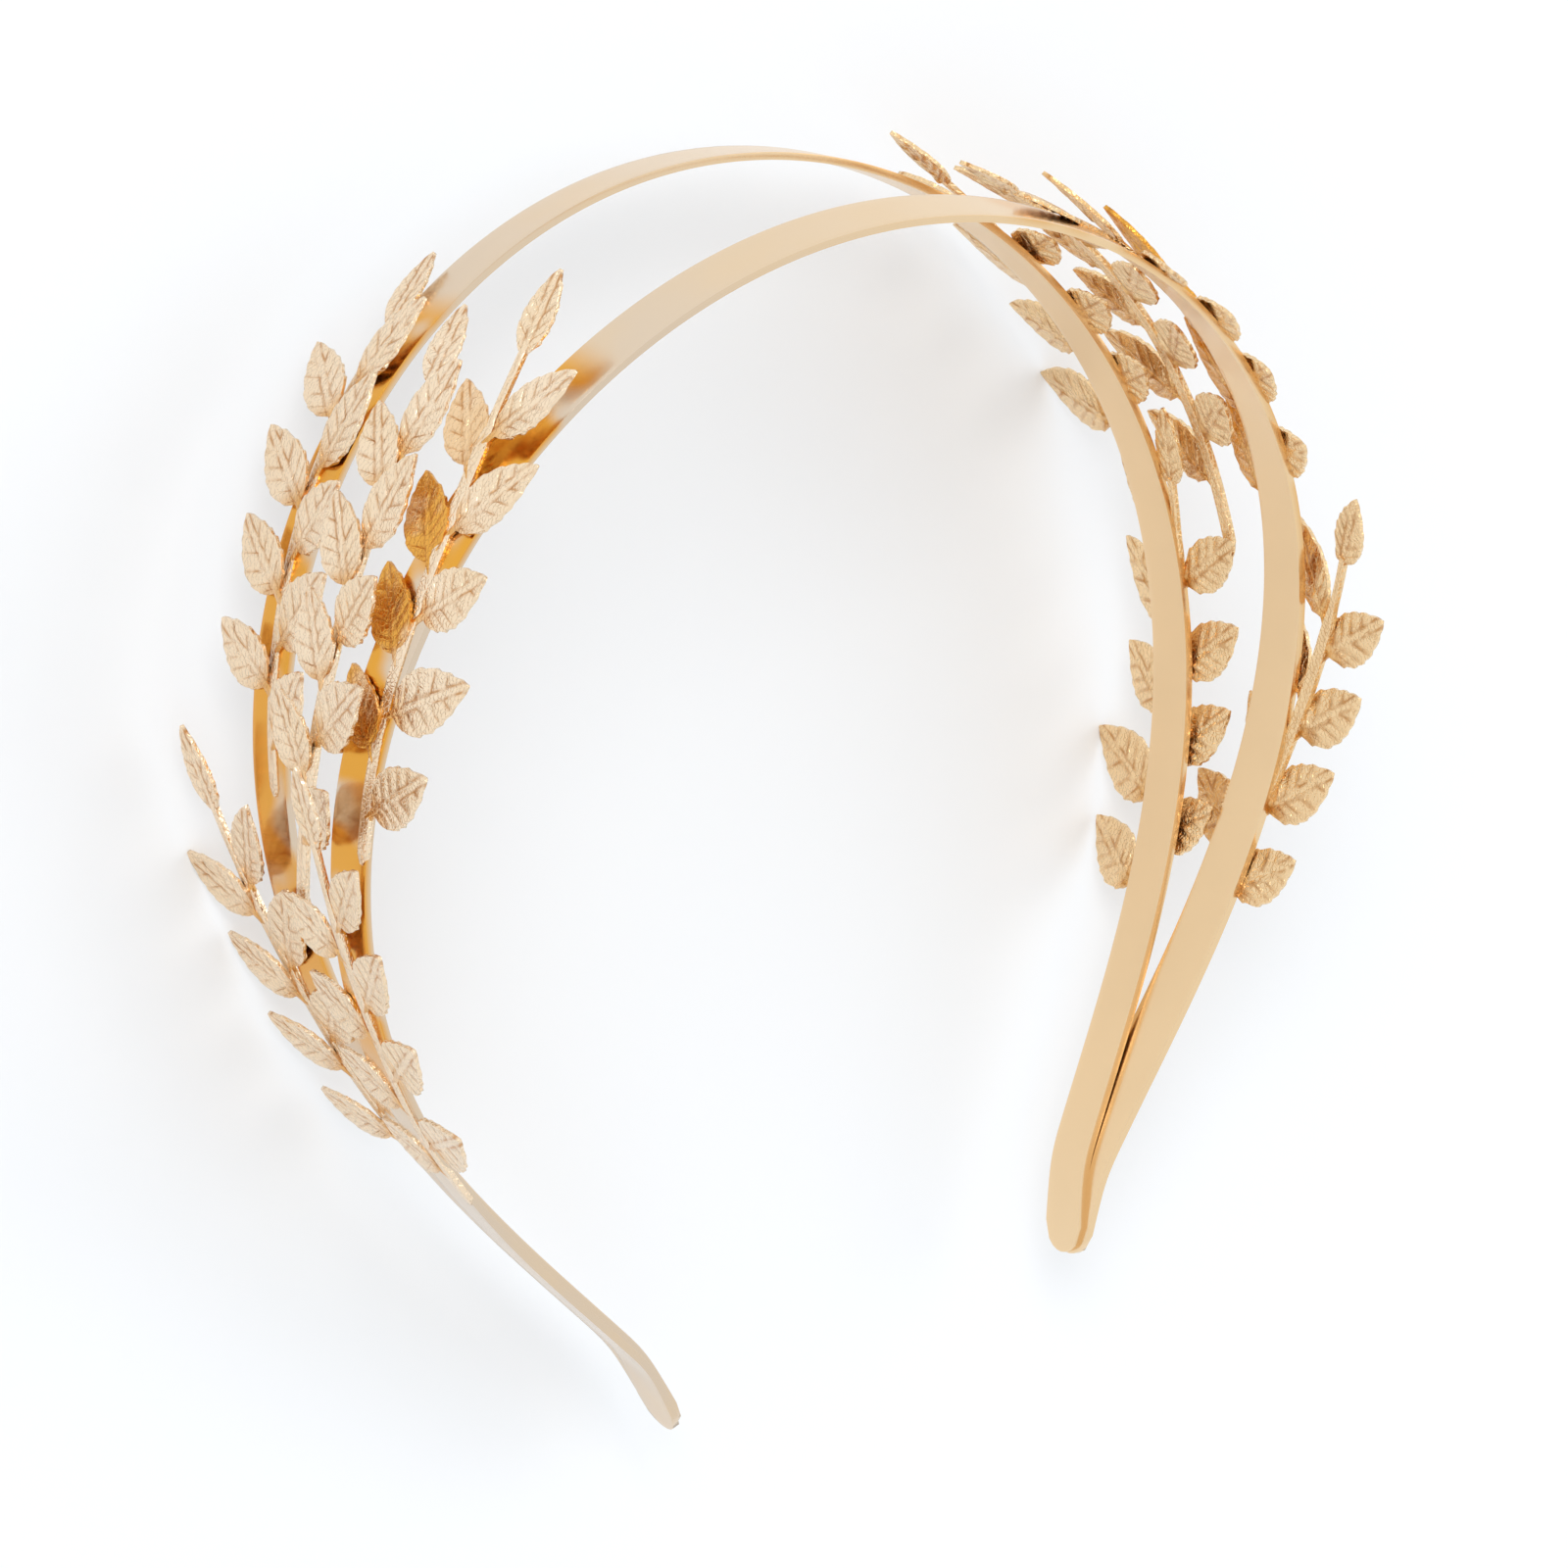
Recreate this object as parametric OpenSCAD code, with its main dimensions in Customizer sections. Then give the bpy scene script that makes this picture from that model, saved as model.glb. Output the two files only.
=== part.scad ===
// Laurel wreath crown: a double headband of two flat metal strips, soldered
// together at their ends and spread apart over the head, with five stamped
// laurel sprigs on the outside of each side. It lies on its side, at rest.

/* [Strips] */
// Width of each flat strip
band_w = 6; // [4:0.5:8]
// Thickness of each strip
band_t = 0.8; // [0.6:0.1:1.2]
// Length of the rear strip from the top of the arch to one end
arm_len = 163.5; // [150:0.5:180]
// How far the strip has turned a quarter of the way down the arm, in degrees
turn_quarter = 44; // [40:1:48]
// How far it has turned half way down the arm
turn_half = 86; // [80:1:92]
// How far it has turned three quarters of the way down
turn_low = 118; // [110:1:122]
// How far it has turned at the end, before the flare
turn_end = 119; // [112:1:124]
// Length of the stretch at each end that flares out again
flare_len = 13.5; // [8:0.5:20]
// Angle of the flare
flare_turn = 13; // [0:1:20]

/* [Pair of strips] */
// Lean of each strip away from the middle plane, in degrees
splay = 7.1; // [5:0.1:9]
// How far the front strip stands outside the rear one at the top
rise_top = 1.2; // [0.8:0.1:3]
// How far it stands outside the rear one half way down
rise_side = 3.4; // [2:0.1:5]
// How deep the soldered ends are sunk into each other
solder_sink = 0.3; // [0.2:0.05:0.4]

/* [Sprigs] */
// Length of a whole sprig, from its foot to the tip of its end leaf
sprig_len = 62; // [56:1:68]
// Width of the flat stem
stem_w = 1.5; // [1:0.1:2]
// Thickness of the flat stem
stem_t = 0.6; // [0.4:0.05:0.9]
// Width of the thin stalk of the end leaf
stalk_w = 0.8; // [0.6:0.1:1.2]
// Clearance between a stem and the strip that it lies on
seat_gap = 0.2; // [0.1:0.05:0.3]

/* [Leaves] */
// Length of the longest leaf, with its stalk
leaf_len = 13; // [10:0.5:14]
// Width of the widest leaf
leaf_w = 6.6; // [4:0.2:8]
// Thickness of the leaf sheet
leaf_t = 0.5; // [0.4:0.05:0.7]
// Length of the stalk between the stem and the leaf blade
petiole_len = 1.6; // [1:0.1:3]
// Width of that stalk
petiole_w = 0.8; // [0.6:0.1:1.2]
// Angle by which each half of a leaf rises from its middle rib
leaf_fold = 9; // [2:1:16]

/* [Hidden] */
// Lanes that a sprig follows: on the rear strip, free between the two, on the front strip
REAR = -1;
MIDDLE = 0;
FRONT = 1;
LEFT = -1;
RIGHT = 1;

// Columns of the leaf table
AT = 0;       // share of the sprig length where the leaf leaves the stem
HAND = 1;     // side of the stem: 1 or -1
LONG = 2;     // share of leaf_len
WIDE = 3;     // share of leaf_w
SPREAD = 4;   // angle from the stem

leaves = [
    [0.135, 1, 0.91, 0.92, 41],
    [0.29, 1, 1.00, 1.00, 47],
    [0.435, 1, 0.83, 0.94, 37],
    [0.57, 1, 0.99, 0.88, 29],
    [0.715, 1, 0.98, 0.80, 29],
    [0.22, -1, 0.80, 0.90, 50],
    [0.365, -1, 0.85, 0.92, 44],
    [0.51, -1, 0.87, 0.90, 46],
    [0.66, -1, 0.85, 0.84, 45],
];
// The end leaf starts at this share of the sprig, on its own thin stalk
end_leaf_at = 0.85;
end_leaf_wide = 0.62;
stalk_from = 0.74;

// Half outline of a leaf blade, as shares of its length and half width
blade_outline = [[0.16, 0.74], [0.4, 1], [0.7, 0.78], [0.98, 0.08]];

// The rib reaches over this share of the blade; it stands out a little under the sheet
rib_share = 0.7;
rib_under = 0.55; // depth of its underside below the middle of the sheet, as a share of leaf_t
rib_deep = 0.85;  // its height, as a share of leaf_t
rib_back = 0.2;   // length of the stalk inside the stem

// Columns of the sprig table
NAME = 0;
ARM = 1;
LANE = 2;
TIP = 3;      // distance of the sprig's tip from the top of the arch, as a share of arm_len
CUT = 4;      // share of the sprig that is trimmed off at its foot
ASIDE = 5;    // sideways place of the foot, in strip widths, towards the front
SWAY = 6;     // how far the tip sways towards the front, as a share of sprig_len
STAND = 7;    // how far the tip stands off the strip, as a share of sprig_len
SPOT = TIP;   // in the middle lane instead: place of the foot, as a share of its leaf's length
SLANT = ASIDE; // in the middle lane instead: slant towards the front, per length of the sprig
LIFT_FRONT = 8; // lift of the leaves on the front side, in degrees
LIFT_REAR = 9;  // lift of the leaves on the rear side
OPEN_FRONT = 10; // extra spread of the leaves on the front side, in degrees
OPEN_REAR = 11;  // extra spread of the leaves on the rear side

sprigs = [
    ["left_rear_upper_sprig", LEFT, REAR, 0.116, 0.06, 0.17, -0.10, 0.01, 6, 10, 0, -4],
    ["left_middle_upper_sprig", LEFT, MIDDLE, 0.78, 0.03, 0.09, -0.32, -0.02, 12, 4, -3, -16],
    ["left_front_upper_sprig", LEFT, FRONT, 0.116, 0.06, 0.42, -0.14, 0.12, 0, 0, 9, -10],
    ["left_rear_lower_sprig", LEFT, REAR, 0.429, 0.15, -0.29, -0.13, 0.07, 0, 7, 8, -5],
    ["left_front_lower_sprig", LEFT, FRONT, 0.409, 0.15, 0.42, -0.07, 0.11, 0, 0, 8, 23],
    ["right_rear_upper_sprig", RIGHT, REAR, 0.189, 0.24, -0.41, 0.03, 0.06, 1, 1, 24, 22],
    ["right_middle_upper_sprig", RIGHT, MIDDLE, 0.77, 0.03, 0.01, 0.16, -0.02, -5, 1, 0, 10],
    ["right_front_upper_sprig", RIGHT, FRONT, 0.166, 0.06, -0.42, 0.01, 0.01, 1, 8, 9, 0],
    ["right_rear_lower_sprig", RIGHT, REAR, 0.436, 0.10, -0.42, 0.15, 0.00, 8, 0, 7, 14],
    ["right_front_lower_sprig", RIGHT, FRONT, 0.448, 0.15, 0.01, 0.22, 0.00, 5, 8, -5, 20],
];

// Steps along one arm of the arch
arm_steps = 48;
step_len = arm_len / arm_steps;

// Smooth curve through the named turns: a polynomial through five even stations
turns = [0, turn_quarter, turn_half, turn_low, turn_end];
function weight(t, i, j = 0) =
    j > 4 ? 1 : (j == i ? 1 : (4 * t - j) / (i - j)) * weight(t, i, j + 1);
function turned(t) = turns * [for (i = [0:4]) weight(t, i)];
function smooth(t) = let (c = min(1, max(0, t))) c * c * (3 - 2 * c);
function heading(s) =
    turned(s / arm_len) - flare_turn * smooth(2 * (s - arm_len + flare_len) / flare_len);

// Middle line of the rear strip, from the top of the arch down to the end
trace = [
    for (i = 0, x = 0, y = 0;
         i <= arm_steps;
         x = x + step_len * cos(heading((i + 0.5) * step_len)),
         y = y - step_len * sin(heading((i + 0.5) * step_len)),
         i = i + 1)
        [x, y, 0]
];
arch_h = -trace[arm_steps].y;
function trace_at(s) =
    let (k = min(arm_steps - 1, max(0, floor(s / step_len))), f = s / step_len - k)
    trace[k] * (1 - f) + trace[k + 1] * f + [0, arch_h, 0];

function outward(s) = [sin(heading(s)), cos(heading(s)), 0];
across = [0, 0, 1];

// How far the front strip stands outside the rear one, at distance s from the top
rise_end = band_t - solder_sink;
rise_mean = (rise_top + rise_end) / 2;
function rise(s) =
    (rise_mean + rise_side) / 2
    + (rise_mean - rise_side) / 2 * cos(360 * s / arm_len)
    + (rise_top - rise_end) / 2 * cos(180 * s / arm_len);

function rail(s, strip, out) = trace_at(s) + outward(s) * (out + (strip == REAR ? 0 : rise(s)));

// Outline of one strip, seen from the side
function strip_side(lane, out, arm) =
    [for (i = [0:arm_steps]) let (p = rail(i * step_len, lane, out)) [arm * p.x, p.y]];
function from(list, first) = [for (i = [first:len(list) - 1]) list[i]];
function backwards(list) = [for (i = [len(list) - 1:-1:0]) list[i]];
function strip_outline(lane) = concat(
    strip_side(lane, band_t / 2, RIGHT),
    backwards(strip_side(lane, -band_t / 2, RIGHT)),
    from(strip_side(lane, -band_t / 2, LEFT), 1),
    backwards(from(strip_side(lane, band_t / 2, LEFT), 1)));

// Turns a piece that is drawn in the middle plane into the leaning plane of its lane
module lean(lane) {
    rotate([lane * splay, 0, 0]) children();
}

// Corners that are cut off a strip's end, so that the end is round
module end_corners(lane) {
    reach = 4 * band_t;
    trim = band_t / 10;
    translate(rail(arm_len, lane, 0))
        rotate([0, 0, -heading(arm_len)])
            difference() {
                translate([-band_w / 2 - trim, -reach, -band_w])
                    cube([band_w, 2 * reach, 2 * band_w]);
                translate([-band_w / 2 - trim, 0, 0])
                    rotate([90, 0, 0])
                        cylinder(h = 3 * reach, r = band_w / 2, center = true, $fn = 48);
            }
}

module strip(lane) {
    lean(lane)
        difference() {
            linear_extrude(height = band_w, center = true) polygon(strip_outline(lane));
            end_corners(lane);
            mirror([1, 0, 0]) end_corners(lane);
        }
}

module double_band() {
    color("#e3c39c")
        union() {
            strip(REAR);
            strip(FRONT);
        }
}

// A sprig of the middle lane has its foot on the top side leaf of a lower sprig: on the left
// under the leaf of the lower front sprig, on the right over that of the lower rear sprig
top_leaf = leaves[8];
function free(row) = row[LANE] == MIDDLE;
function below(row) = sprigs[row[ARM] == LEFT ? 4 : 8];
function lane_of(row) = free(row) ? below(row)[LANE] : row[LANE];
function tangent(s) = [cos(heading(s)), -sin(heading(s)), 0];
function nearest(p, s) = s + (p - trace_at(s)) * tangent(s);
over_leaf = stem_t / 2 + seat_gap + leaf_t / 2 + leaf_w / 2 * tan(leaf_fold);
under_leaf = stem_t / 2 + seat_gap + rib_under * leaf_t;
function foot(row) =
    let (low = below(row),
         p = stem_point(low, top_leaf[AT]) + leaf_way(low, top_leaf) * row[SPOT] * top_leaf[LONG] * leaf_len,
         s = nearest(p, nearest(p, along(low, top_leaf[AT]))))
    [s, (p - rail(s, low[LANE], 0)) * outward(s) + (row[ARM] == LEFT ? -under_leaf : over_leaf), p.z];

// Middle line of a sprig: place at the share u of its length
function along(row, u) = free(row) ? foot(row)[0] + (row[CUT] - u) * sprig_len
    : row[TIP] * arm_len + (1 - u) * sprig_len;
stretch_len = 7.5;
arch_r = arm_len / 2 * 180 / (PI * turn_half);
sag = pow(stretch_len, 2) / (8 * arch_r);
stem_rise = band_t / 2 + seat_gap + sag + max(stem_t / 2, rib_under * leaf_t);
bend_from = 0.45;
function standing(row, u) = free(row)
    ? foot(row)[1] + row[STAND] * sprig_len * (u - row[CUT]) / (1 - row[CUT])
    : stem_rise + row[STAND] * sprig_len * pow(max(0, u - bend_from) / (1 - bend_from), 2);
function aside(row, u) = free(row)
    ? foot(row)[2] + sprig_len * (u - row[CUT]) * (row[SLANT] + row[SWAY] * (u - row[CUT]))
    : band_w * row[ASIDE] + sprig_len * row[SWAY] * pow(max(0, u), 2);
function stem_point(row, u) =
    rail(along(row, u), lane_of(row), standing(row, u)) + across * aside(row, u);

function unit(v) = v / norm(v);
nudge = 0.01;
function stem_way(row, u) = unit(stem_point(row, u + nudge) - stem_point(row, u - nudge));

// Frame with x along a direction and z as near as can be to outward
function frame_at(p, way, s) =
    let (y = unit(cross(outward(s), way)), z = cross(way, y))
    [[way.x, y.x, z.x, p.x], [way.y, y.y, z.y, p.y], [way.z, y.z, z.z, p.z], [0, 0, 0, 1]];

// Direction of a leaf: spread sideways from the stem, then lifted outward
function leaf_way(row, leaf) =
    let (s = along(row, leaf[AT]), way = stem_way(row, leaf[AT]), y = unit(cross(outward(s), way)),
         side = -row[ARM] * leaf[HAND],
         spread = leaf[SPREAD] + (side > 0 ? row[OPEN_FRONT] : row[OPEN_REAR]),
         lift = side > 0 ? row[LIFT_FRONT] : row[LIFT_REAR],
         flat = way * cos(spread) + across * side * sin(spread))
    unit(unit(flat) * cos(lift) + outward(s) * sin(lift));

// Outline of one half of a leaf blade, from its root to its tip, on one side of the rib
function half_outline(root, long, wide, side) = [
    for (p = concat(
            [[root, 0], [root, petiole_w / 2]],
            [for (p = blade_outline) [root + p.x * (long - root), p.y * wide / 2]],
            [[long, 0]]))
        [p.x, side * p.y]
];

// A leaf along x: a stalk that goes on as the middle rib, and two flat halves folded up from it
module folded_leaf(root, long, wide) {
    translate([-rib_back, -petiole_w / 2, -rib_under * leaf_t])
        cube([rib_back + root + rib_share * (long - root), petiole_w, rib_deep * leaf_t]);
    for (side = [-1, 1])
        rotate([side * leaf_fold, 0, 0])
            linear_extrude(height = leaf_t, center = true)
                polygon(half_outline(root, long, wide, side));
}

function leaf_frame(row, leaf) =
    frame_at(stem_point(row, leaf[AT]), leaf_way(row, leaf), along(row, leaf[AT]));

module leaf(row, leaf) {
    multmatrix(leaf_frame(row, leaf))
        folded_leaf(petiole_len, leaf[LONG] * leaf_len, leaf[WIDE] * leaf_w);
}

// A stem: a flat wire along its middle line, through one cross-section at each station
function stations(row) =
    let (first = row[CUT], count = ceil((stalk_from - first) * sprig_len / stretch_len))
    concat(
        [for (k = [0:count]) [first + (stalk_from - first) * k / count, stem_w]],
        [for (k = [1:3]) [stalk_from + (end_leaf_at + nudge - stalk_from) * k / 3, stalk_w]]);
function section(row, u, wide) =
    let (frame = frame_at(stem_point(row, u), stem_way(row, u), along(row, u)))
    [for (c = [[-1, -1], [1, -1], [1, 1], [-1, 1]])
        let (at = frame * [0, c.x * wide / 2, c.y * stem_t / 2, 1])
        [at.x, at.y, at.z]];

module stem(row) {
    list = stations(row);
    last = len(list) - 1;
    polyhedron(
        points = [for (at = list) each section(row, at[0], at[1])],
        faces = concat(
            [[0, 1, 2, 3], [4 * last + 3, 4 * last + 2, 4 * last + 1, 4 * last]],
            [for (k = [0:last - 1]) for (c = [0:3])
                let (a = 4 * k + c, b = 4 * k + (c + 1) % 4)
                each [[a, a + 4, b], [b, a + 4, b + 4]]]));
}

function end_leaf_frame(row) =
    frame_at(stem_point(row, end_leaf_at), stem_way(row, end_leaf_at), along(row, end_leaf_at));
end_leaf_len = (1 - end_leaf_at) * sprig_len;

module end_leaf(row) {
    multmatrix(end_leaf_frame(row))
        folded_leaf(0, end_leaf_len, end_leaf_wide * leaf_w);
}

// Place of a point of one lane, before the crown is laid down
function in_lane(lane, arm, p) =
    let (a = lane * splay)
    [arm * p.x, p.y * cos(a) - p.z * sin(a), p.y * sin(a) + p.z * cos(a)];
function tip_corner(row, frame, long, face) =
    let (p = frame * [long, 0, face * leaf_t / 2, 1]) in_lane(lane_of(row), row[ARM], [p.x, p.y, p.z]);
function leaf_tip(row, leaf, face) =
    tip_corner(row, leaf_frame(row, leaf), leaf[LONG] * leaf_len, face);

// The crown lies on three leaf tips of its rear strip, two on the right and one on the left:
// each is a row of the sprig table and a row of the leaf table. Their plane becomes the floor.
rest_leaves = [[8, 1], [3, 8], [5, 1]];
rest_tips = [for (pick = rest_leaves) leaf_tip(sprigs[pick[0]], leaves[pick[1]], -1)];
rest_up = unit(cross(rest_tips[2] - rest_tips[0], rest_tips[1] - rest_tips[0]));
rest_x = unit(cross([0, 1, 0], rest_up));
level = [rest_x, cross(rest_up, rest_x), rest_up];

// Outermost corners of the level crown, which give its middle and its lowest point
corners = [
    for (face = [-1, 1])
        for (p = concat(
                [for (row = sprigs) for (leaf = leaves) leaf_tip(row, leaf, face)],
                [for (row = sprigs) tip_corner(row, end_leaf_frame(row), end_leaf_len, face)],
                [for (lane = [REAR, FRONT]) for (arm = [LEFT, RIGHT])
                    in_lane(lane, arm, rail(arm_len, lane, face * band_t / 2))]))
            level * p
];
function low(axis) = min([for (p = corners) p[axis]]);
function high(axis) = max([for (p = corners) p[axis]]);
shift = [-(low(0) + high(0)) / 2, -(low(1) + high(1)) / 2, -low(2)];

module lay_down() {
    multmatrix([for (k = [0:2]) concat(level[k], [shift[k]])]) children();
}

module sprig(row) {
    color(row[ARM] == LEFT ? "#ecd2b4" : "#e0ba85")
        mirror([row[ARM] == LEFT ? 1 : 0, 0, 0])
            lean(lane_of(row))
                union() {
                    stem(row);
                    for (leaf = leaves)
                        if (leaf[AT] > row[CUT] + nudge) leaf(row, leaf);
                    end_leaf(row);
                }
}

lay_down() double_band();
for (row = sprigs)
    lay_down() sprig(row);
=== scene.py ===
import math

import bmesh
import bpy
from mathutils import Matrix, Vector


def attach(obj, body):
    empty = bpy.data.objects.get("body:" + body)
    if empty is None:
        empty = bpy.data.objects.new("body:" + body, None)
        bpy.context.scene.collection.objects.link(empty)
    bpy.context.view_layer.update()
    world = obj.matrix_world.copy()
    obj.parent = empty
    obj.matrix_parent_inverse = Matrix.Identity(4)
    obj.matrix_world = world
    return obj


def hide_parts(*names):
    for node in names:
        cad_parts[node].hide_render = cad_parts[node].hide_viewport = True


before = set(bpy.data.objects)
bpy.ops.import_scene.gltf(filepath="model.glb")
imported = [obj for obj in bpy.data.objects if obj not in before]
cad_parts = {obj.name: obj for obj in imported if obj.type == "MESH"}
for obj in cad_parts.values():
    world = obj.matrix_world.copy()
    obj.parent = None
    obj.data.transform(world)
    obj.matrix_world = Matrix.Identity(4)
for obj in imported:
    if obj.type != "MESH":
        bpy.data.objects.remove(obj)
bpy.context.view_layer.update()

# Double headband
# Two flat strips of plated brass, each bent to an open arch, leaning apart over the head and
# soldered to each other at both ends. The front one is longer and stands outside the rear one.
mm = 0.001
REAR, MIDDLE, FRONT = -1, 0, 1
LEFT, RIGHT = -1, 1
band_width = 6.0
band_thickness = 0.8
arm_length = 163.5
quarter_turns = (0, 44, 86, 118, 119)
flare_length = 13.5
flare_turn = 13
splay = math.radians(7.1)
rise_top, rise_side, solder_sink = 1.2, 3.4, 0.3
edge_round, edge_rings = 0.16, 3
arch_step = 0.25
steps_along, steps_across = 440, 8

# The stretch of each arm, as shares of its length, where the strip under the sprigs is painted a
# deep orange shade, standing for the shade and reflected gold under the leaves, the shares over
# which it fades out above and below, and its strength on the right arm
shaded_from, shaded_to = 0.135, 0.66
fade_above, fade_below = 0.03, 0.08
right_arm_shade = 0.5

# The crown lies on its side on three leaf tips: the turns and the shift that the part's source
# works out from those tips
rest_tilt = math.radians(9.22872)
rest_roll = math.radians(-0.457791)
rest_place = Vector((0.697171, -63.5876, 10.8052))
lay_down = (
    Matrix.Translation(rest_place)
    @ Matrix.Rotation(rest_tilt, 4, "X")
    @ Matrix.Rotation(rest_roll, 4, "Y")
)


def smooth(t):
    """From 0 to 1 with a soft start and end."""
    t = min(1.0, max(0.0, t))
    return t * t * (3 - 2 * t)


def heading(s):
    """Angle that the strip has turned at the distance s from the top of the arch.

    It is a smooth curve through the turns at each quarter of the arm, less the flare at the end.
    """
    quarters = range(len(quarter_turns))
    t = 4 * s / arm_length
    turned = sum(
        quarter_turns[i] * math.prod((t - j) / (i - j) for j in quarters if j != i)
        for i in quarters
    )
    flare = smooth(2 * (s - arm_length + flare_length) / flare_length)
    return math.radians(turned - flare_turn * flare)


# Middle line of the rear strip, from the top of the arch down to the end
steps = round(arm_length / arch_step)
step = arm_length / steps
arch = [Vector((0, 0, 0))]
for k in range(steps):
    turn = heading((k + 0.5) * step)
    arch.append(arch[-1] + step * Vector((math.cos(turn), -math.sin(turn), 0)))
arch_height = -arch[-1].y


def outward(s):
    """Direction away from the head, at the distance s from the top."""
    return Vector((math.sin(heading(s)), math.cos(heading(s)), 0))


def rise(s):
    """How far the front strip stands outside the rear one."""
    end = band_thickness - solder_sink
    mean = (rise_top + end) / 2
    return (
        (mean + rise_side) / 2
        + (mean - rise_side) / 2 * math.cos(2 * math.pi * s / arm_length)
        + (rise_top - end) / 2 * math.cos(math.pi * s / arm_length)
    )


def rail(s, lane, out):
    """A point over the middle line of a strip, in the plane of its lane."""
    k = min(steps - 1, max(0, int(s / step)))
    share = s / step - k
    point = arch[k] * (1 - share) + arch[k + 1] * share + Vector((0, arch_height, 0))
    return point + outward(s) * (out + (0 if lane == REAR else rise(s)))


def stand_up(lane, arm):
    """From the plane that a lane is drawn in to its place in the lying crown."""
    return lay_down @ Matrix.Scale(arm, 4, (1, 0, 0)) @ Matrix.Rotation(lane * splay, 4, "X")


def joined(name, parts):
    """One mesh object, in metres, from several shapes in millimetres."""
    whole = bmesh.new()
    for part in parts:
        mesh = bpy.data.meshes.new("part")
        part.to_mesh(mesh)
        part.free()
        whole.from_mesh(mesh)
        bpy.data.meshes.remove(mesh)
    bmesh.ops.scale(whole, vec=(mm, mm, mm), verts=whole.verts)
    mesh = bpy.data.meshes.new(name)
    whole.to_mesh(mesh)
    whole.free()
    thing = bpy.data.objects.new(name, mesh)
    bpy.context.scene.collection.objects.link(thing)
    return thing


def rounded_rim(thing, width, rings):
    """Rounds the cut edges of a sheet, and leaves its folds as they are."""
    sharpest_fold = math.radians(62)
    bevel = thing.modifiers.new("cut edges", "BEVEL")
    bevel.width = width * mm
    bevel.segments = rings
    bevel.limit_method = "ANGLE"
    bevel.angle_limit = sharpest_fold
    bevel.use_clamp_overlap = True
    for face in thing.data.polygons:
        face.use_smooth = True


def strip(lane):
    """A flat strip with half round ends, along the whole arch."""
    sheet = bmesh.new()
    bmesh.ops.create_grid(sheet, x_segments=steps_along, y_segments=steps_across, size=1)
    shaded = sheet.verts.layers.float.new("shaded")
    half = band_width / 2
    outer = band_thickness / 2
    for vert in sheet.verts:
        across = vert.co.y
        s = abs(vert.co.x) * arm_length
        arm = RIGHT if vert.co.x >= 0 else LEFT
        # towards the end the rows bend to a half round
        near_end = max(0.0, (s - arm_length + band_width) / band_width)
        s -= half * (1 - math.sqrt(max(0.0, 1 - across * across))) * near_end**2
        share = s / arm_length
        # painted shade: deep orange on the strip under the sprigs, fading out above and below
        above = smooth((share - shaded_from) / fade_above)
        below = smooth((shaded_to - share) / fade_below)
        vert[shaded] = above * below * (right_arm_shade if arm == RIGHT else 1)
        place = rail(s, lane, outer) + Vector((0, 0, across * half))
        place.x *= arm
        vert.co = stand_up(lane, RIGHT) @ place
    sheet.normal_update()
    first_side = len(sheet.verts)
    bmesh.ops.solidify(sheet, geom=sheet.faces[:], thickness=band_thickness)
    bmesh.ops.recalc_face_normals(sheet, faces=sheet.faces)
    # the painted orange shade goes on the outer face only; the inside of the strip, towards the
    # head, keeps its even colour
    for vert in sheet.verts[:first_side]:
        vert[shaded] = 0.0
    return sheet


double_band = joined("double_band_strips", [strip(REAR), strip(FRONT)])
rounded_rim(double_band, edge_round, edge_rings)


class Socket:
    """An output of a material's node that can be added and multiplied."""

    def __init__(self, tree, output=None):
        self.tree, self.output = tree, output

    def node(self, kind, settings=None, inputs=None, output=0):
        """A new node: its settings first, then the values and links of its sockets."""
        made = self.tree.nodes.new(kind)
        for name, value in (settings or {}).items():
            setattr(made, name, value)
        for name, value in (inputs or {}).items():
            if isinstance(value, Socket):
                self.tree.links.new(value.output, made.inputs[name])
            else:
                made.inputs[name].default_value = value
        return Socket(self.tree, made.outputs[output])

    def maths(self, operation, other):
        """This and another number or socket, put through a Math node."""
        return self.node("ShaderNodeMath", {"operation": operation}, {0: self, 1: other})

    def __add__(self, other):
        return self.maths("ADD", other)

    def __mul__(self, other):
        return self.maths("MULTIPLY", other)

    __radd__ = __add__
    __rmul__ = __mul__

    def mix(self, low, high):
        """The colour low where this is 0, and high where it is 1."""
        return self.node(
            "ShaderNodeMix", {"data_type": "RGBA"}, {0: self, 6: low, 7: high}, 2
        )

    def stretch(self, low, high):
        """0 up to low and 1 from high, with a soft step between."""
        return self.node(
            "ShaderNodeMapRange",
            {"interpolation_type": "SMOOTHSTEP"},
            {"Value": self, "From Min": low, "From Max": high},
        )


def noise(shade, place, size, detail=2.0):
    """Soft spots of the given size in millimetres."""
    return shade.node(
        "ShaderNodeTexNoise", inputs={"Vector": place, "Scale": 1 / (size * mm), "Detail": detail}
    )


def bump(shade, height, strength, depth, **under):
    """A relief of the given depth in millimetres, over another one if there is one under it."""
    return shade.node(
        "ShaderNodeBump",
        inputs={"Strength": strength, "Distance": depth * mm, "Height": height, **under},
    )


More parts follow.
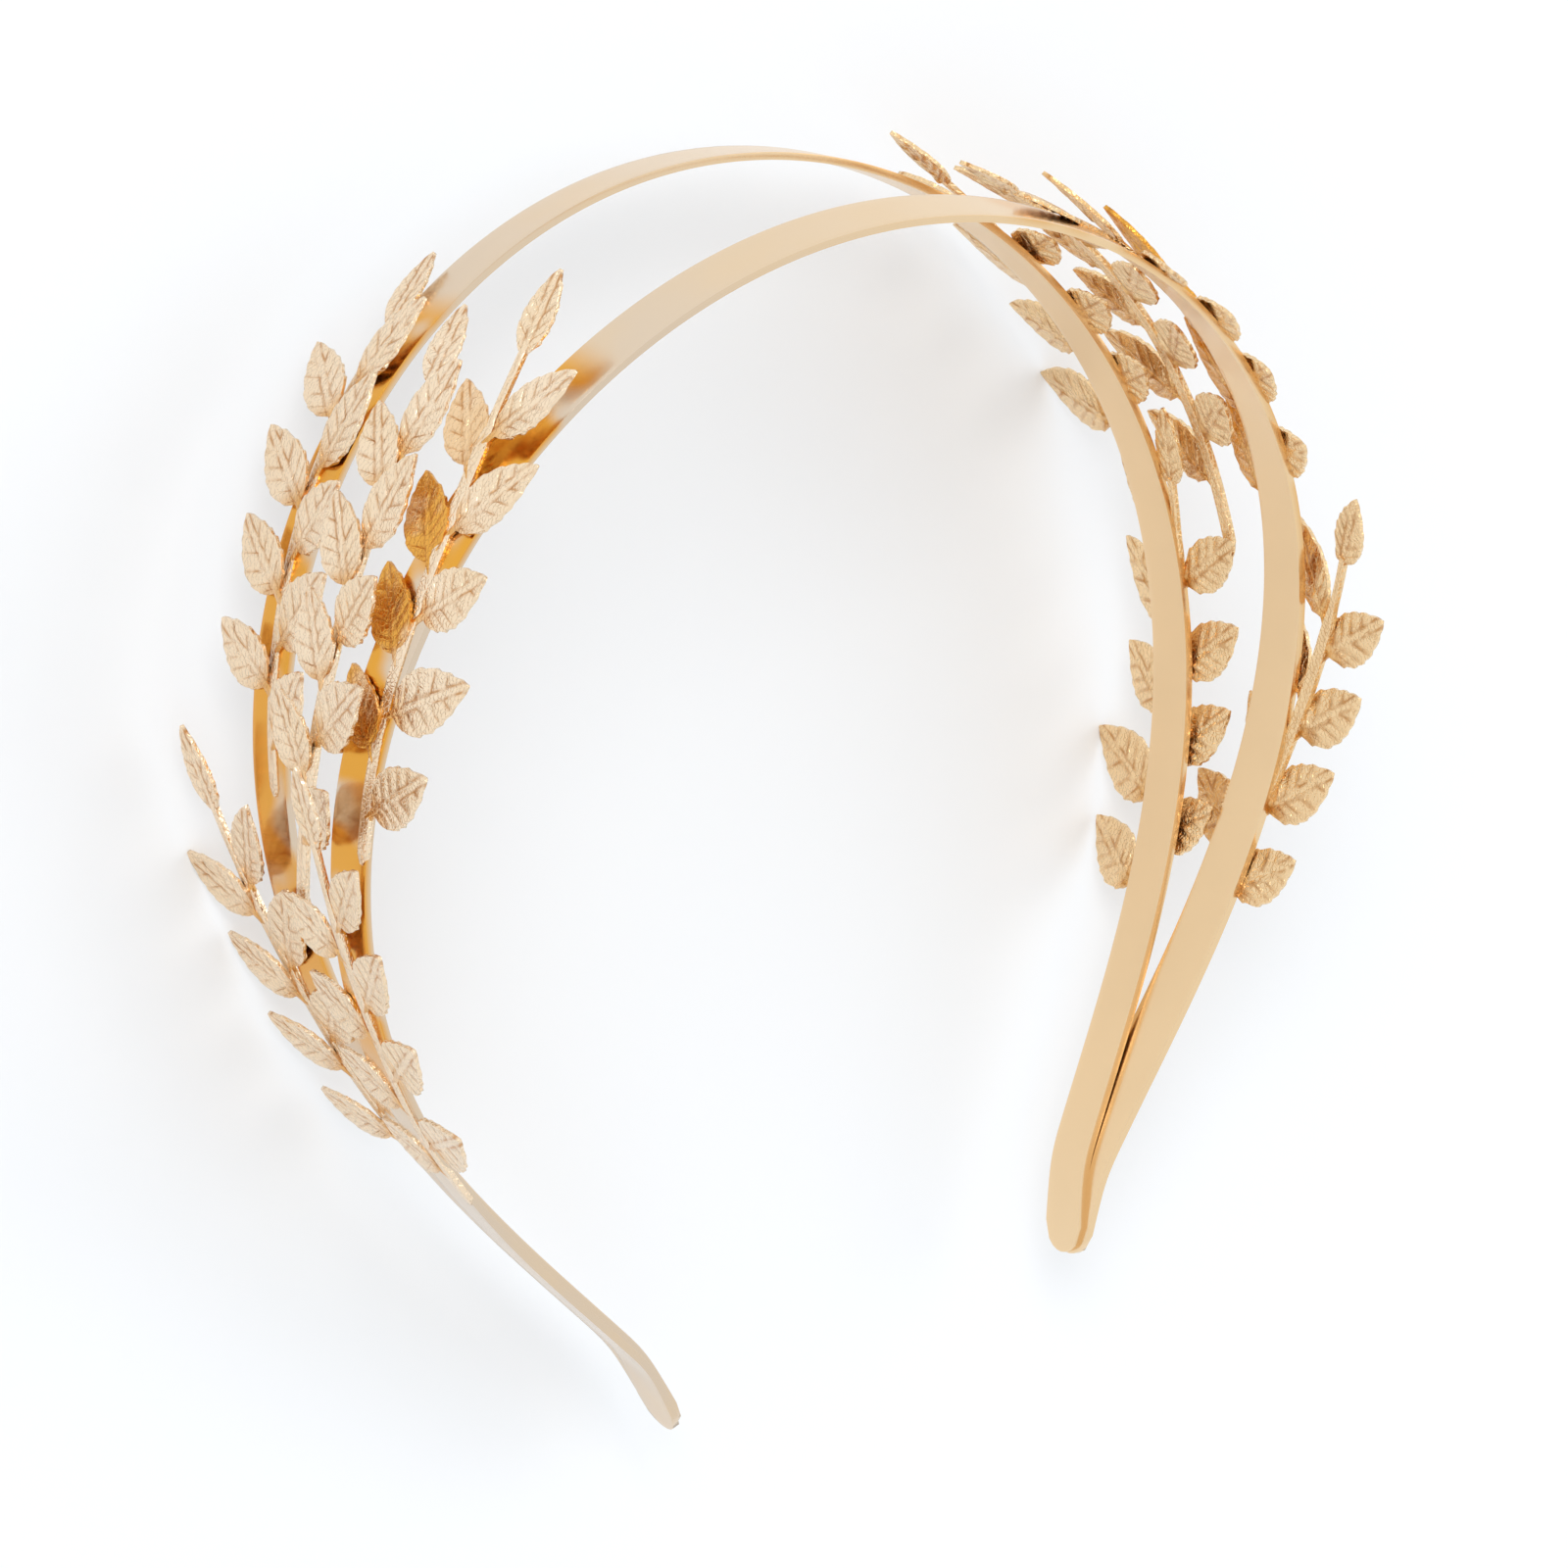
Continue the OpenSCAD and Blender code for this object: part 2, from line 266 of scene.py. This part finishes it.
def plating(name, colour_left, colour_right, dull):
    """A gold plated surface, its tint painted paler on the left arm and warmer on the right,
    standing in for how the light falls, with what it takes to finish it.
    """
    # the painted change of tint from arm to arm, between two places along x, and the spots that
    # make it uneven
    blend_from, blend_to, blend_wobble, blend_spots = -30 * mm, 45 * mm, 12 * mm, 30
    patch_spots, patch_share, patch_shade = 9, 0.35, 0.93
    dull_spots, dull_more = 4, 0.1
    material = bpy.data.materials.new(name)
    material.use_nodes = True
    tree = material.node_tree
    tree.nodes["Principled BSDF"].inputs["Metallic"].default_value = 1.0
    shade = Socket(tree)
    place = shade.node("ShaderNodeTexCoord", output="Object")
    x = shade.node("ShaderNodeSeparateXYZ", inputs={0: place}, output="X")
    side = (x + blend_wobble * noise(shade, place, blend_spots)).stretch(blend_from, blend_to)
    colour = side.mix(colour_left, colour_right)
    patches = noise(shade, place, patch_spots, 3.0).stretch(0.35, 0.75)
    patch_gold = tuple(c * patch_shade for c in colour_right[:3]) + (1,)
    colour = (patches * patch_share).mix(colour, patch_gold)
    rough = dull + dull_more * noise(shade, place, dull_spots, 4.0)
    return material, shade, place, colour, rough


def finished(material, colour, rough, normal):
    """The material, with what changes over its surface linked to its shader."""
    tree = material.node_tree
    sockets = tree.nodes["Principled BSDF"].inputs
    tree.links.new(colour.output, sockets["Base Color"])
    tree.links.new(rough.output, sockets["Roughness"])
    tree.links.new(normal.output, sockets["Normal"])
    return material


# The strips' greyer gold on the left arm is a painted reflection, the grey sheen of the room on
# them
rose_gold_with_grey_sheen = (0.71, 0.575, 0.435, 1)
smooth_gold = (0.87, 0.635, 0.375, 1)
# Painted shade: deep orange where gold lies in shade and reflects gold
painted_orange_shade = (0.78, 0.37, 0.05, 1)
strip_dullness = 0.17
orange_spots = 9
hammer_spots, hammer_strength, hammer_depth = 7, 0.25, 0.4
grain_spots, grain_strength, grain_depth = 0.25, 0.08, 0.02
material, shade, place, colour, rough = plating(
    "polished_strip", rose_gold_with_grey_sheen, smooth_gold, strip_dullness
)
# Painted shade: patchy deep orange on the strip's outer face under the sprigs
shaded = shade.node("ShaderNodeAttribute", {"attribute_name": "shaded"}, output="Fac")
glow = noise(shade, place, orange_spots, 1.0).stretch(0.36, 0.5)
colour = (shaded * glow).mix(colour, painted_orange_shade)
dents = bump(shade, noise(shade, place, hammer_spots, 1.0), hammer_strength, hammer_depth)
normal = bump(shade, noise(shade, place, grain_spots), grain_strength, grain_depth, Normal=dents)
double_band.data.materials.append(finished(material, colour, rough, normal))
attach(double_band, "root")
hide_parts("double_band")

# Laurel sprigs
# Ten stamped brass sprigs, five on each arm: a flat stem with leaves on both sides and one at
# its tip. They are cut and embossed in one stroke, bent a little by hand and soldered in place.
sprig_length = 62.0
stem_width, stem_thickness, stalk_width = 1.5, 0.6, 0.8
seat_gap = 0.2
leaf_length, leaf_width, leaf_thickness = 13.0, 6.6, 0.42
petiole_length, petiole_width = 1.6, 0.8
leaf_fold = math.radians(9)
end_leaf_at, end_leaf_wide, stalk_from = 0.85, 0.62, 0.74
leaf_edge_round, leaf_edge_rings = 0.09, 2
nudge = 0.01

# The plain leaves of the part's source, which the stems clear: the thickness of their sheet, and
# how far their rib stands out under it
sheet_thickness, rib_under = 0.5, 0.55

# A stem lies in straight stretches on the round strip, and leaves it from this share on. Its foot
# narrows to a share of its width, and a faint painted shadow runs along its crowned middle.
stretch_length, bend_from = 7.5, 0.45
foot_narrow, foot_taper = 0.3, 0.016
stem_crown, stem_shadow = 0.05, 0.25
stem_steps, stem_steps_across = 60, 4

# A leaf's outline: how far its widest place lies towards the foot, how full it is, and the stalk,
# which is wider where it leaves the stem
blade_skew, blade_fullness, narrowest_tip = 0.7565, 0.8, 0.1
petiole_flare, petiole_flare_length = 0.45, 1.3
end_leaf_back = 0.3

# Its embossing: pairs of veins that sweep towards the tip, one tooth of the edge to each vein,
# and a rib with a groove on both sides
vein_pairs, vein_sweep, vein_wander = 6, 0.8, 0.18
tooth_depth, tooth_rise, tooth_ahead = 0.26, 0.8, 0.17
tooth_fade_at_foot, tooth_fade_at_tip = 0.12, 0.1
emboss, pillow, vein_narrow = 0.19, 0.6, 2.4
vein_start, vein_fade_at_foot, vein_fade_at_tip = 0.55, 0.1, 0.12
rib_height, rib_width, rib_fade = 0.2, 0.32, 0.35
# the grooves beside the rib get painted shade, this dark
rib_groove_at, rib_groove_width, rib_groove_dark = 0.5, 0.16, 0.9
sheet_sink = 0.06

# Its bending by hand, and the steps of its mesh, which crowd towards the rib
leaf_curl, leaf_cup = 0.25, 0.15
end_leaf_curl, end_leaf_cup = 0.2, 0.1
cup_reach = 3.0
steps_per_vein, petiole_steps, steps_across_leaf = 9, 5, 20
crowded_to_rib = 1.25

# How far the painted brown shade and the painted deep orange shade reach from a leaf's root, and
# how strong they are: between the strips, the lower leaves of the upper front sprigs are painted
# the most orange
root_shade_reach, faint_root_shade, full_root_shade = 0.3, 0.3, 1.0
orange_from, orange_reach, root_orange = 0.4, 0.3, 0.85
upper_sprig_above, lower_leaf_below = 0.3, 0.6
lower_leaf_orange, higher_leaf_orange = 1.0, 0.35

# Where each leaf leaves the stem, on which hand, its length and width as shares, and its spread
AT, HAND, LONG, WIDE, SPREAD = range(5)
leaves = (
    (0.135, 1, 0.91, 0.92, 41),
    (0.29, 1, 1.00, 1.00, 47),
    (0.435, 1, 0.83, 0.94, 37),
    (0.57, 1, 0.99, 0.88, 29),
    (0.715, 1, 0.98, 0.80, 29),
    (0.22, -1, 0.80, 0.90, 50),
    (0.365, -1, 0.85, 0.92, 44),
    (0.51, -1, 0.87, 0.90, 46),
    (0.66, -1, 0.85, 0.84, 45),
)
# The side leaf that can carry the foot of a middle sprig
top_leaf = leaves[8]

# Each sprig: its tip's distance from the top as a share of the arm, the share trimmed off its foot,
# its foot aside in strip widths, sway and stand-off of the tip as shares of its length,
# and the lift and the extra spread of the leaves on its front and rear sides.
# The middle ones stand on the top side leaf of a lower sprig instead, the left one under it and the
# right one over it: the place of their foot as a share of that leaf takes the tip's column, and
# their slant that of the foot aside.
NAME, ARM, LANE, TIP, CUT, ASIDE, SWAY, STAND = range(8)
LIFT_FRONT, LIFT_REAR, OPEN_FRONT, OPEN_REAR = range(8, 12)
sprigs = (
    ("left_rear_upper_sprig", LEFT, REAR, 0.116, 0.06, 0.17, -0.10, 0.01, 6, 10, 0, -4),
    ("left_middle_upper_sprig", LEFT, MIDDLE, 0.78, 0.03, 0.09, -0.32, -0.02, 12, 4, -3, -16),
    ("left_front_upper_sprig", LEFT, FRONT, 0.116, 0.06, 0.42, -0.14, 0.12, 0, 0, 9, -10),
    ("left_rear_lower_sprig", LEFT, REAR, 0.429, 0.15, -0.29, -0.13, 0.07, 0, 7, 8, -5),
    ("left_front_lower_sprig", LEFT, FRONT, 0.409, 0.15, 0.42, -0.07, 0.11, 0, 0, 8, 23),
    ("right_rear_upper_sprig", RIGHT, REAR, 0.189, 0.24, -0.41, 0.03, 0.06, 1, 1, 24, 22),
    ("right_middle_upper_sprig", RIGHT, MIDDLE, 0.77, 0.03, 0.01, 0.16, -0.02, -5, 1, 0, 10),
    ("right_front_upper_sprig", RIGHT, FRONT, 0.166, 0.06, -0.42, 0.01, 0.01, 1, 8, 9, 0),
    ("right_rear_lower_sprig", RIGHT, REAR, 0.436, 0.10, -0.42, 0.15, 0.00, 8, 0, 7, 14),
    ("right_front_lower_sprig", RIGHT, FRONT, 0.448, 0.15, 0.01, 0.22, 0.00, 5, 8, -5, 20),
)
# The lower sprig on each arm whose top side leaf holds the foot of the middle one
carriers = {LEFT: sprigs[4], RIGHT: sprigs[8]}
# The foot of each middle sprig, under its name, once it is worked out
feet = {}


def lane_of(row):
    """The strip whose lean a sprig follows; a middle one follows its carrier's."""
    return carriers[row[ARM]][LANE] if row[LANE] == MIDDLE else row[LANE]


def foot(row):
    """A middle sprig's foot: its distance from the top, height over the strip and place aside."""
    low = carriers[row[ARM]]
    reach = row[TIP] * top_leaf[LONG] * leaf_length
    point = stem_point(low, top_leaf[AT]) + leaf_way(low, top_leaf) * reach
    s = along(low, top_leaf[AT])
    # two steps along the arch to the place nearest to it
    for _ in range(2):
        turn = heading(s)
        s += (point - rail(s, REAR, 0)).dot(Vector((math.cos(turn), -math.sin(turn), 0)))
    folded_up = leaf_width / 2 * math.tan(leaf_fold)
    over = stem_thickness / 2 + seat_gap + sheet_thickness / 2 + folded_up
    under = stem_thickness / 2 + seat_gap + rib_under * sheet_thickness
    high = (point - rail(s, low[LANE], 0)).dot(outward(s)) + (-under if row[ARM] == LEFT else over)
    return s, high, point.z


def along(row, u):
    """Distance from the top of the arch at the share u of a sprig's length."""
    if row[LANE] == MIDDLE:
        return feet[row[NAME]][0] + (row[CUT] - u) * sprig_length
    return row[TIP] * arm_length + (1 - u) * sprig_length


def stem_point(row, u):
    """Middle of the stem at the share u of the sprig's length."""
    if row[LANE] == MIDDLE:
        run = u - row[CUT]
        out = feet[row[NAME]][1] + row[STAND] * sprig_length * run / (1 - row[CUT])
        aside = feet[row[NAME]][2] + sprig_length * run * (row[ASIDE] + row[SWAY] * run)
    else:
        arch_radius = arm_length / 2 / math.radians(quarter_turns[2])
        sag = stretch_length**2 / (8 * arch_radius)
        out = band_thickness / 2 + seat_gap + sag + stem_thickness / 2
        out += row[STAND] * sprig_length * (max(0.0, u - bend_from) / (1 - bend_from)) ** 2
        aside = band_width * row[ASIDE] + sprig_length * row[SWAY] * max(0.0, u) ** 2
    return rail(along(row, u), lane_of(row), out) + Vector((0, 0, aside))


def stem_way(row, u):
    """Direction of the stem at the share u of the sprig's length."""
    return (stem_point(row, u + nudge) - stem_point(row, u - nudge)).normalized()


def leaf_way(row, leaf):
    """Direction of a leaf: spread sideways from the stem, then lifted outward."""
    s = along(row, leaf[AT])
    hand = -row[ARM] * leaf[HAND]
    spread = math.radians(leaf[SPREAD] + (row[OPEN_FRONT] if hand > 0 else row[OPEN_REAR]))
    lift = math.radians(row[LIFT_FRONT] if hand > 0 else row[LIFT_REAR])
    flat = stem_way(row, leaf[AT]) * math.cos(spread) + Vector((0, 0, hand)) * math.sin(spread)
    return (flat.normalized() * math.cos(lift) + outward(s) * math.sin(lift)).normalized()


def set_at(point, way, s):
    """Turns x along a direction and z as near as can be to outward."""
    y = outward(s).cross(way).normalized()
    z = way.cross(y)
    return Matrix.Translation(point) @ Matrix((way, y, z)).transposed().to_4x4()


def blade_half(t):
    """Half width of a blade as a share: full near the foot, pointed at the tip."""
    return math.sin(math.pi * t**blade_skew) ** blade_fullness if 0 < t < 1 else 0.0


def stalk_row(share, root):
    """Place along the leaf and half width, at a share of a stalk of the length root."""
    x = root * share - (0 if root else end_leaf_back) * (1 - share)
    half = petiole_width / 2
    if root:
        half += petiole_flare * max(0.0, 1 - x / petiole_flare_length) ** 2
    return x, half


def blade_row(t, off, wander, root, blade, wide):
    """Place along the leaf, half width, relief and painted crease shade, at the share t of a blade.

    Off is the place between the rib at 0 and the edge at 1, and wander shifts the veins.
    """
    phase = (t * vein_pairs + vein_wander * wander) % 1.0
    tooth = phase / tooth_rise if phase < tooth_rise else (1 - phase) / (1 - tooth_rise)
    teeth = smooth(t / tooth_fade_at_foot) * smooth((1 - t) / tooth_fade_at_tip)
    bite = tooth_depth * teeth * (tooth - 0.5)
    half = max(blade_half(t) * wide / 2, (1 - t) * petiole_width / 2, narrowest_tip)
    half += bite * wide / leaf_width
    x = root + t * blade - vein_sweep * blade * t * (1 - t) * (1 - off)
    swell = math.sin(math.pi * ((phase + tooth_ahead) % 1.0))
    fade = smooth(t / vein_fade_at_foot) * smooth((1 - t) / vein_fade_at_tip) * (1 - off**5)
    relief = emboss * fade * (swell**pillow - pillow)
    # the last value is the painted shade in the creases between the veins' swells
    return x, half, relief, fade * max(0.0, 1 - vein_narrow * swell)


def embossed_leaf(root, long, wide, curl, cup, orange, root_shade):
    """A leaf along x, with a stalk of the length root: toothed, folded, with pressed veins.

    The layers hold painted shade: brown in the vein creases and at the root, and deep orange.
    """
    sheet = bmesh.new()
    foot_steps = petiole_steps if root else 1
    blade_steps = vein_pairs * steps_per_vein
    count = foot_steps + blade_steps
    bmesh.ops.create_grid(sheet, x_segments=count, y_segments=steps_across_leaf, size=1)
    brown_shade = sheet.verts.layers.float.new("brown_shade")
    shaded = sheet.verts.layers.float.new("shaded")
    blade = long - root
    for vert in sheet.verts:
        column = round((vert.co.x + 1) / 2 * count) - foot_steps
        across = math.copysign(abs(vert.co.y) ** crowded_to_rib, vert.co.y)
        if column <= 0:
            x, half = stalk_row(1 + column / foot_steps, root)
            relief = hollow = 0.0
        else:
            t = column / blade_steps
            # the veins of the two halves, and of any two leaves, lie a little differently
            wander = math.sin(9 * t + 5 * curl + (2 if vert.co.y > 0 else 0))
            x, half, relief, hollow = blade_row(t, abs(across), wander, root, blade, wide)
        y = across * half
        off_rib = smooth(abs(y) / vein_start)
        rib = math.exp(-((y / rib_width) ** 2)) * smooth((long - x) / (rib_fade * blade))
        beside_rib = math.exp(-(((abs(y) - rib_groove_at) / rib_groove_width) ** 2)) * (column > 0)
        bent = max(0.0, x - root) / blade
        z = relief * off_rib + rib_height * rib
        z += abs(y) * math.tan(leaf_fold) + curl * bent * bent - cup * (y / cup_reach) ** 2
        # the rib stands up, so the whole sheet lies a little lower
        vert.co = Vector((x, y, z - sheet_sink))
        # painted shade: brown in the vein creases, in the grooves beside the rib, and at the root
        hollow = max(hollow * off_rib, rib_groove_dark * beside_rib)
        vert[brown_shade] = max(hollow, root_shade * (1 - smooth((x - root) / (root_shade_reach * blade))))
        # painted shade: deep orange at the root, and over whole leaves between the strips
        if root:
            at_root = 1 - smooth((x - orange_from * root) / (orange_reach * long))
            vert[shaded] = max(orange, root_orange * at_root)
    return sheet


def flat_stem(row):
    """The stem of a sprig, tapered at its foot and narrower at the end leaf's stalk."""
    under_end_leaf = 0.012
    thinning = 0.06
    sheet = bmesh.new()
    bmesh.ops.create_grid(sheet, x_segments=stem_steps, y_segments=stem_steps_across, size=1)
    brown_shade = sheet.verts.layers.float.new("brown_shade")
    last = end_leaf_at + under_end_leaf
    for vert in sheet.verts:
        u = row[CUT] + (last - row[CUT]) * (vert.co.x + 1) / 2
        thin = smooth((u - stalk_from + thinning / 2) / thinning)
        half = (stem_width * (1 - thin) + stalk_width * thin) / 2
        tapered = math.sqrt(min(1.0, (u - row[CUT]) / foot_taper))
        half *= foot_narrow + (1 - foot_narrow) * tapered
        turned = set_at(stem_point(row, u), stem_way(row, u), along(row, u))
        middle = abs(vert.co.y) < 0.1
        # painted shadow along the middle of the stem
        vert[brown_shade] = stem_shadow * middle
        vert.co = turned @ Vector((0, vert.co.y * half, stem_crown * (1 - vert.co.y**2)))
    return sheet


def stamped(sheet, turned, arm, thickness):
    """Gives a shape its place and the thickness of the sheet that it is stamped from."""
    for vert in sheet.verts:
        vert.co = turned @ vert.co
    if arm == LEFT:
        bmesh.ops.reverse_faces(sheet, faces=sheet.faces[:])
    sheet.normal_update()
    shift = [vert.normal * (thickness / 2) for vert in sheet.verts]
    for vert, by in zip(sheet.verts, shift):
        vert.co += by
    bmesh.ops.solidify(sheet, geom=sheet.faces[:], thickness=thickness)
    bmesh.ops.recalc_face_normals(sheet, faces=sheet.faces)
    return sheet


# Paler on the left arm and warmer on the right: painted light, for how the light falls on each arm
pale_rose_gold = (0.92, 0.735, 0.53, 1)
warm_gold = (0.92, 0.67, 0.385, 1)
# the painted shade's brown, in creases, at roots and along stems
painted_brown_shade = (0.50, 0.20, 0.035, 1)
leaf_dullness, groove_dullness = 0.15, 0.12
leaf_orange_spots, orange_least, orange_more = 6, 0.45, 0.5
uneven_shade_spots, brown_most = 1.6, 0.95
net_cells_per_metre, net_line = 1900.0, 0.14
crinkle_spots, crinkle_share = 0.8, 1.4
crinkle_strength, crinkle_depth = 0.5, 0.09
material, shade, place, colour, rough = plating(
    "embossed_leaf_plating", pale_rose_gold, warm_gold, leaf_dullness
)
# Painted shade: patchy deep orange and uneven brown in creases, at roots and along stems
brown_shade = shade.node("ShaderNodeAttribute", {"attribute_name": "brown_shade"}, output="Fac")
shaded = shade.node("ShaderNodeAttribute", {"attribute_name": "shaded"}, output="Fac")
glow = noise(shade, place, leaf_orange_spots).stretch(0.34, 0.5)
colour = (shaded * (orange_least + orange_more * glow)).mix(colour, painted_orange_shade)
uneven_shade = noise(shade, place, uneven_shade_spots, 1.0).stretch(0.3, 0.62)
colour = (brown_shade * uneven_shade * brown_most).mix(colour, painted_brown_shade)
net = shade.node(
    "ShaderNodeTexVoronoi",
    {"feature": "DISTANCE_TO_EDGE"},
    {"Vector": place, "Scale": net_cells_per_metre},
).stretch(0.0, net_line)
crinkle = noise(shade, place, crinkle_spots, 3.0)
normal = bump(shade, net + crinkle_share * crinkle, crinkle_strength, crinkle_depth)
leaf_plating = finished(material, colour, rough + groove_dullness * brown_shade, normal)

feet.update({row[NAME]: foot(row) for row in sprigs if row[LANE] == MIDDLE})
for index, row in enumerate(sprigs):
    lane = stand_up(lane_of(row), row[ARM])
    parts = [stamped(flat_stem(row), lane, row[ARM], stem_thickness)]
    for number, leaf in enumerate(leaves):
        if leaf[AT] <= row[CUT] + nudge:
            continue
        # no two leaves are bent alike
        curl = leaf_curl * math.sin(7.3 * index + 2.9 * number)
        front_side = row[ARM] * leaf[HAND] < 0
        # painted shade: the roots are brown on the front side of the right arm, in the shadowed gap
        # by the strip, and orange between the strips
        root_shade = full_root_shade if row[ARM] == RIGHT and front_side else faint_root_shade
        orange = 0.0
        if row[LANE] == FRONT and row[TIP] < upper_sprig_above and not front_side:
            orange = lower_leaf_orange if leaf[AT] < lower_leaf_below else higher_leaf_orange
        turned = set_at(stem_point(row, leaf[AT]), leaf_way(row, leaf), along(row, leaf[AT]))
        long, wide = leaf[LONG] * leaf_length, leaf[WIDE] * leaf_width
        shape = embossed_leaf(petiole_length, long, wide, curl, leaf_cup, orange, root_shade)
        parts.append(stamped(shape, lane @ turned, row[ARM], leaf_thickness))
    turned = set_at(
        stem_point(row, end_leaf_at), stem_way(row, end_leaf_at), along(row, end_leaf_at)
    )
    long, wide = (1 - end_leaf_at) * sprig_length, end_leaf_wide * leaf_width
    end_leaf = embossed_leaf(0, long, wide, end_leaf_curl, end_leaf_cup, orange=0, root_shade=0)
    parts.append(stamped(end_leaf, lane @ turned, row[ARM], leaf_thickness))
    sprig = joined(row[NAME] + "_embossed", parts)
    rounded_rim(sprig, leaf_edge_round, leaf_edge_rings)
    sprig.data.materials.append(leaf_plating)
    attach(sprig, "root")
    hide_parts(row[NAME])

# Floor, light and camera
# A large sheet of pale paper in a room with even light, a big softbox high beyond the top of the
# arch and a weaker one on the right. The camera was fitted to the strips' edges in the photograph.
floor_half = 6
paper_white, paper_roughness = (0.895, 0.91, 0.93, 1), 0.9
room_white, room_strength = (0.95, 0.975, 1.0, 1), 1.0
floor_mesh = bpy.data.meshes.new("floor")
ground = bmesh.new()
bmesh.ops.create_grid(ground, x_segments=1, y_segments=1, size=floor_half)
ground.to_mesh(floor_mesh)
ground.free()
floor = bpy.data.objects.new("floor", floor_mesh)
bpy.context.scene.collection.objects.link(floor)
paper = bpy.data.materials.new("pale_paper")
paper.use_nodes = True
paper_shader = paper.node_tree.nodes["Principled BSDF"]
paper_shader.inputs["Base Color"].default_value = paper_white
paper_shader.inputs["Roughness"].default_value = paper_roughness
paper_shader.inputs["Specular IOR Level"].default_value = 0.0
floor.data.materials.append(paper)

world = bpy.data.worlds.new("soft_room")
world.use_nodes = True
room = world.node_tree.nodes["Background"]
room.inputs["Color"].default_value = room_white
room.inputs["Strength"].default_value = room_strength
bpy.context.scene.world = world


def softbox(name, place, size, power, colour):
    """A round lamp that points at the middle of the floor."""
    light = bpy.data.lights.new(name, "AREA")
    light.shape = "DISK"
    light.size = size
    light.energy = power
    light.color = colour
    lamp = bpy.data.objects.new(name, light)
    bpy.context.scene.collection.objects.link(lamp)
    lamp.location = place
    lamp.rotation_euler = (-Vector(place)).to_track_quat("-Z", "Y").to_euler()


softbox("key_softbox", place=(-0.5, 0.9, 1.3), size=0.8, power=5, colour=(1.0, 0.98, 0.95))
softbox("side_softbox", place=(1.2, 0.1, 0.9), size=0.9, power=2.2, colour=(1.0, 0.93, 0.85))

photo_width_px, focal_length_px = 1600, 12965.556
sensor_width = 36
camera_place = (-0.626755, 0.351921, 1.096819)
look = Vector((0.484332, -0.272795, -0.831275)).normalized()
up = Vector((0.332376, 0.936298, -0.113604))
lens = bpy.data.cameras.new("camera")
lens.sensor_width = sensor_width
lens.lens = sensor_width * focal_length_px / photo_width_px
lens.clip_start, lens.clip_end = 0.05, 20
camera = bpy.data.objects.new("camera", lens)
bpy.context.scene.collection.objects.link(camera)
up = (up - look * up.dot(look)).normalized()
camera.matrix_world = (
    Matrix.Translation(camera_place)
    @ Matrix((look.cross(up), up, -look)).transposed().to_4x4()
)
bpy.context.scene.camera = camera
bpy.context.scene.view_settings.view_transform = "Standard"
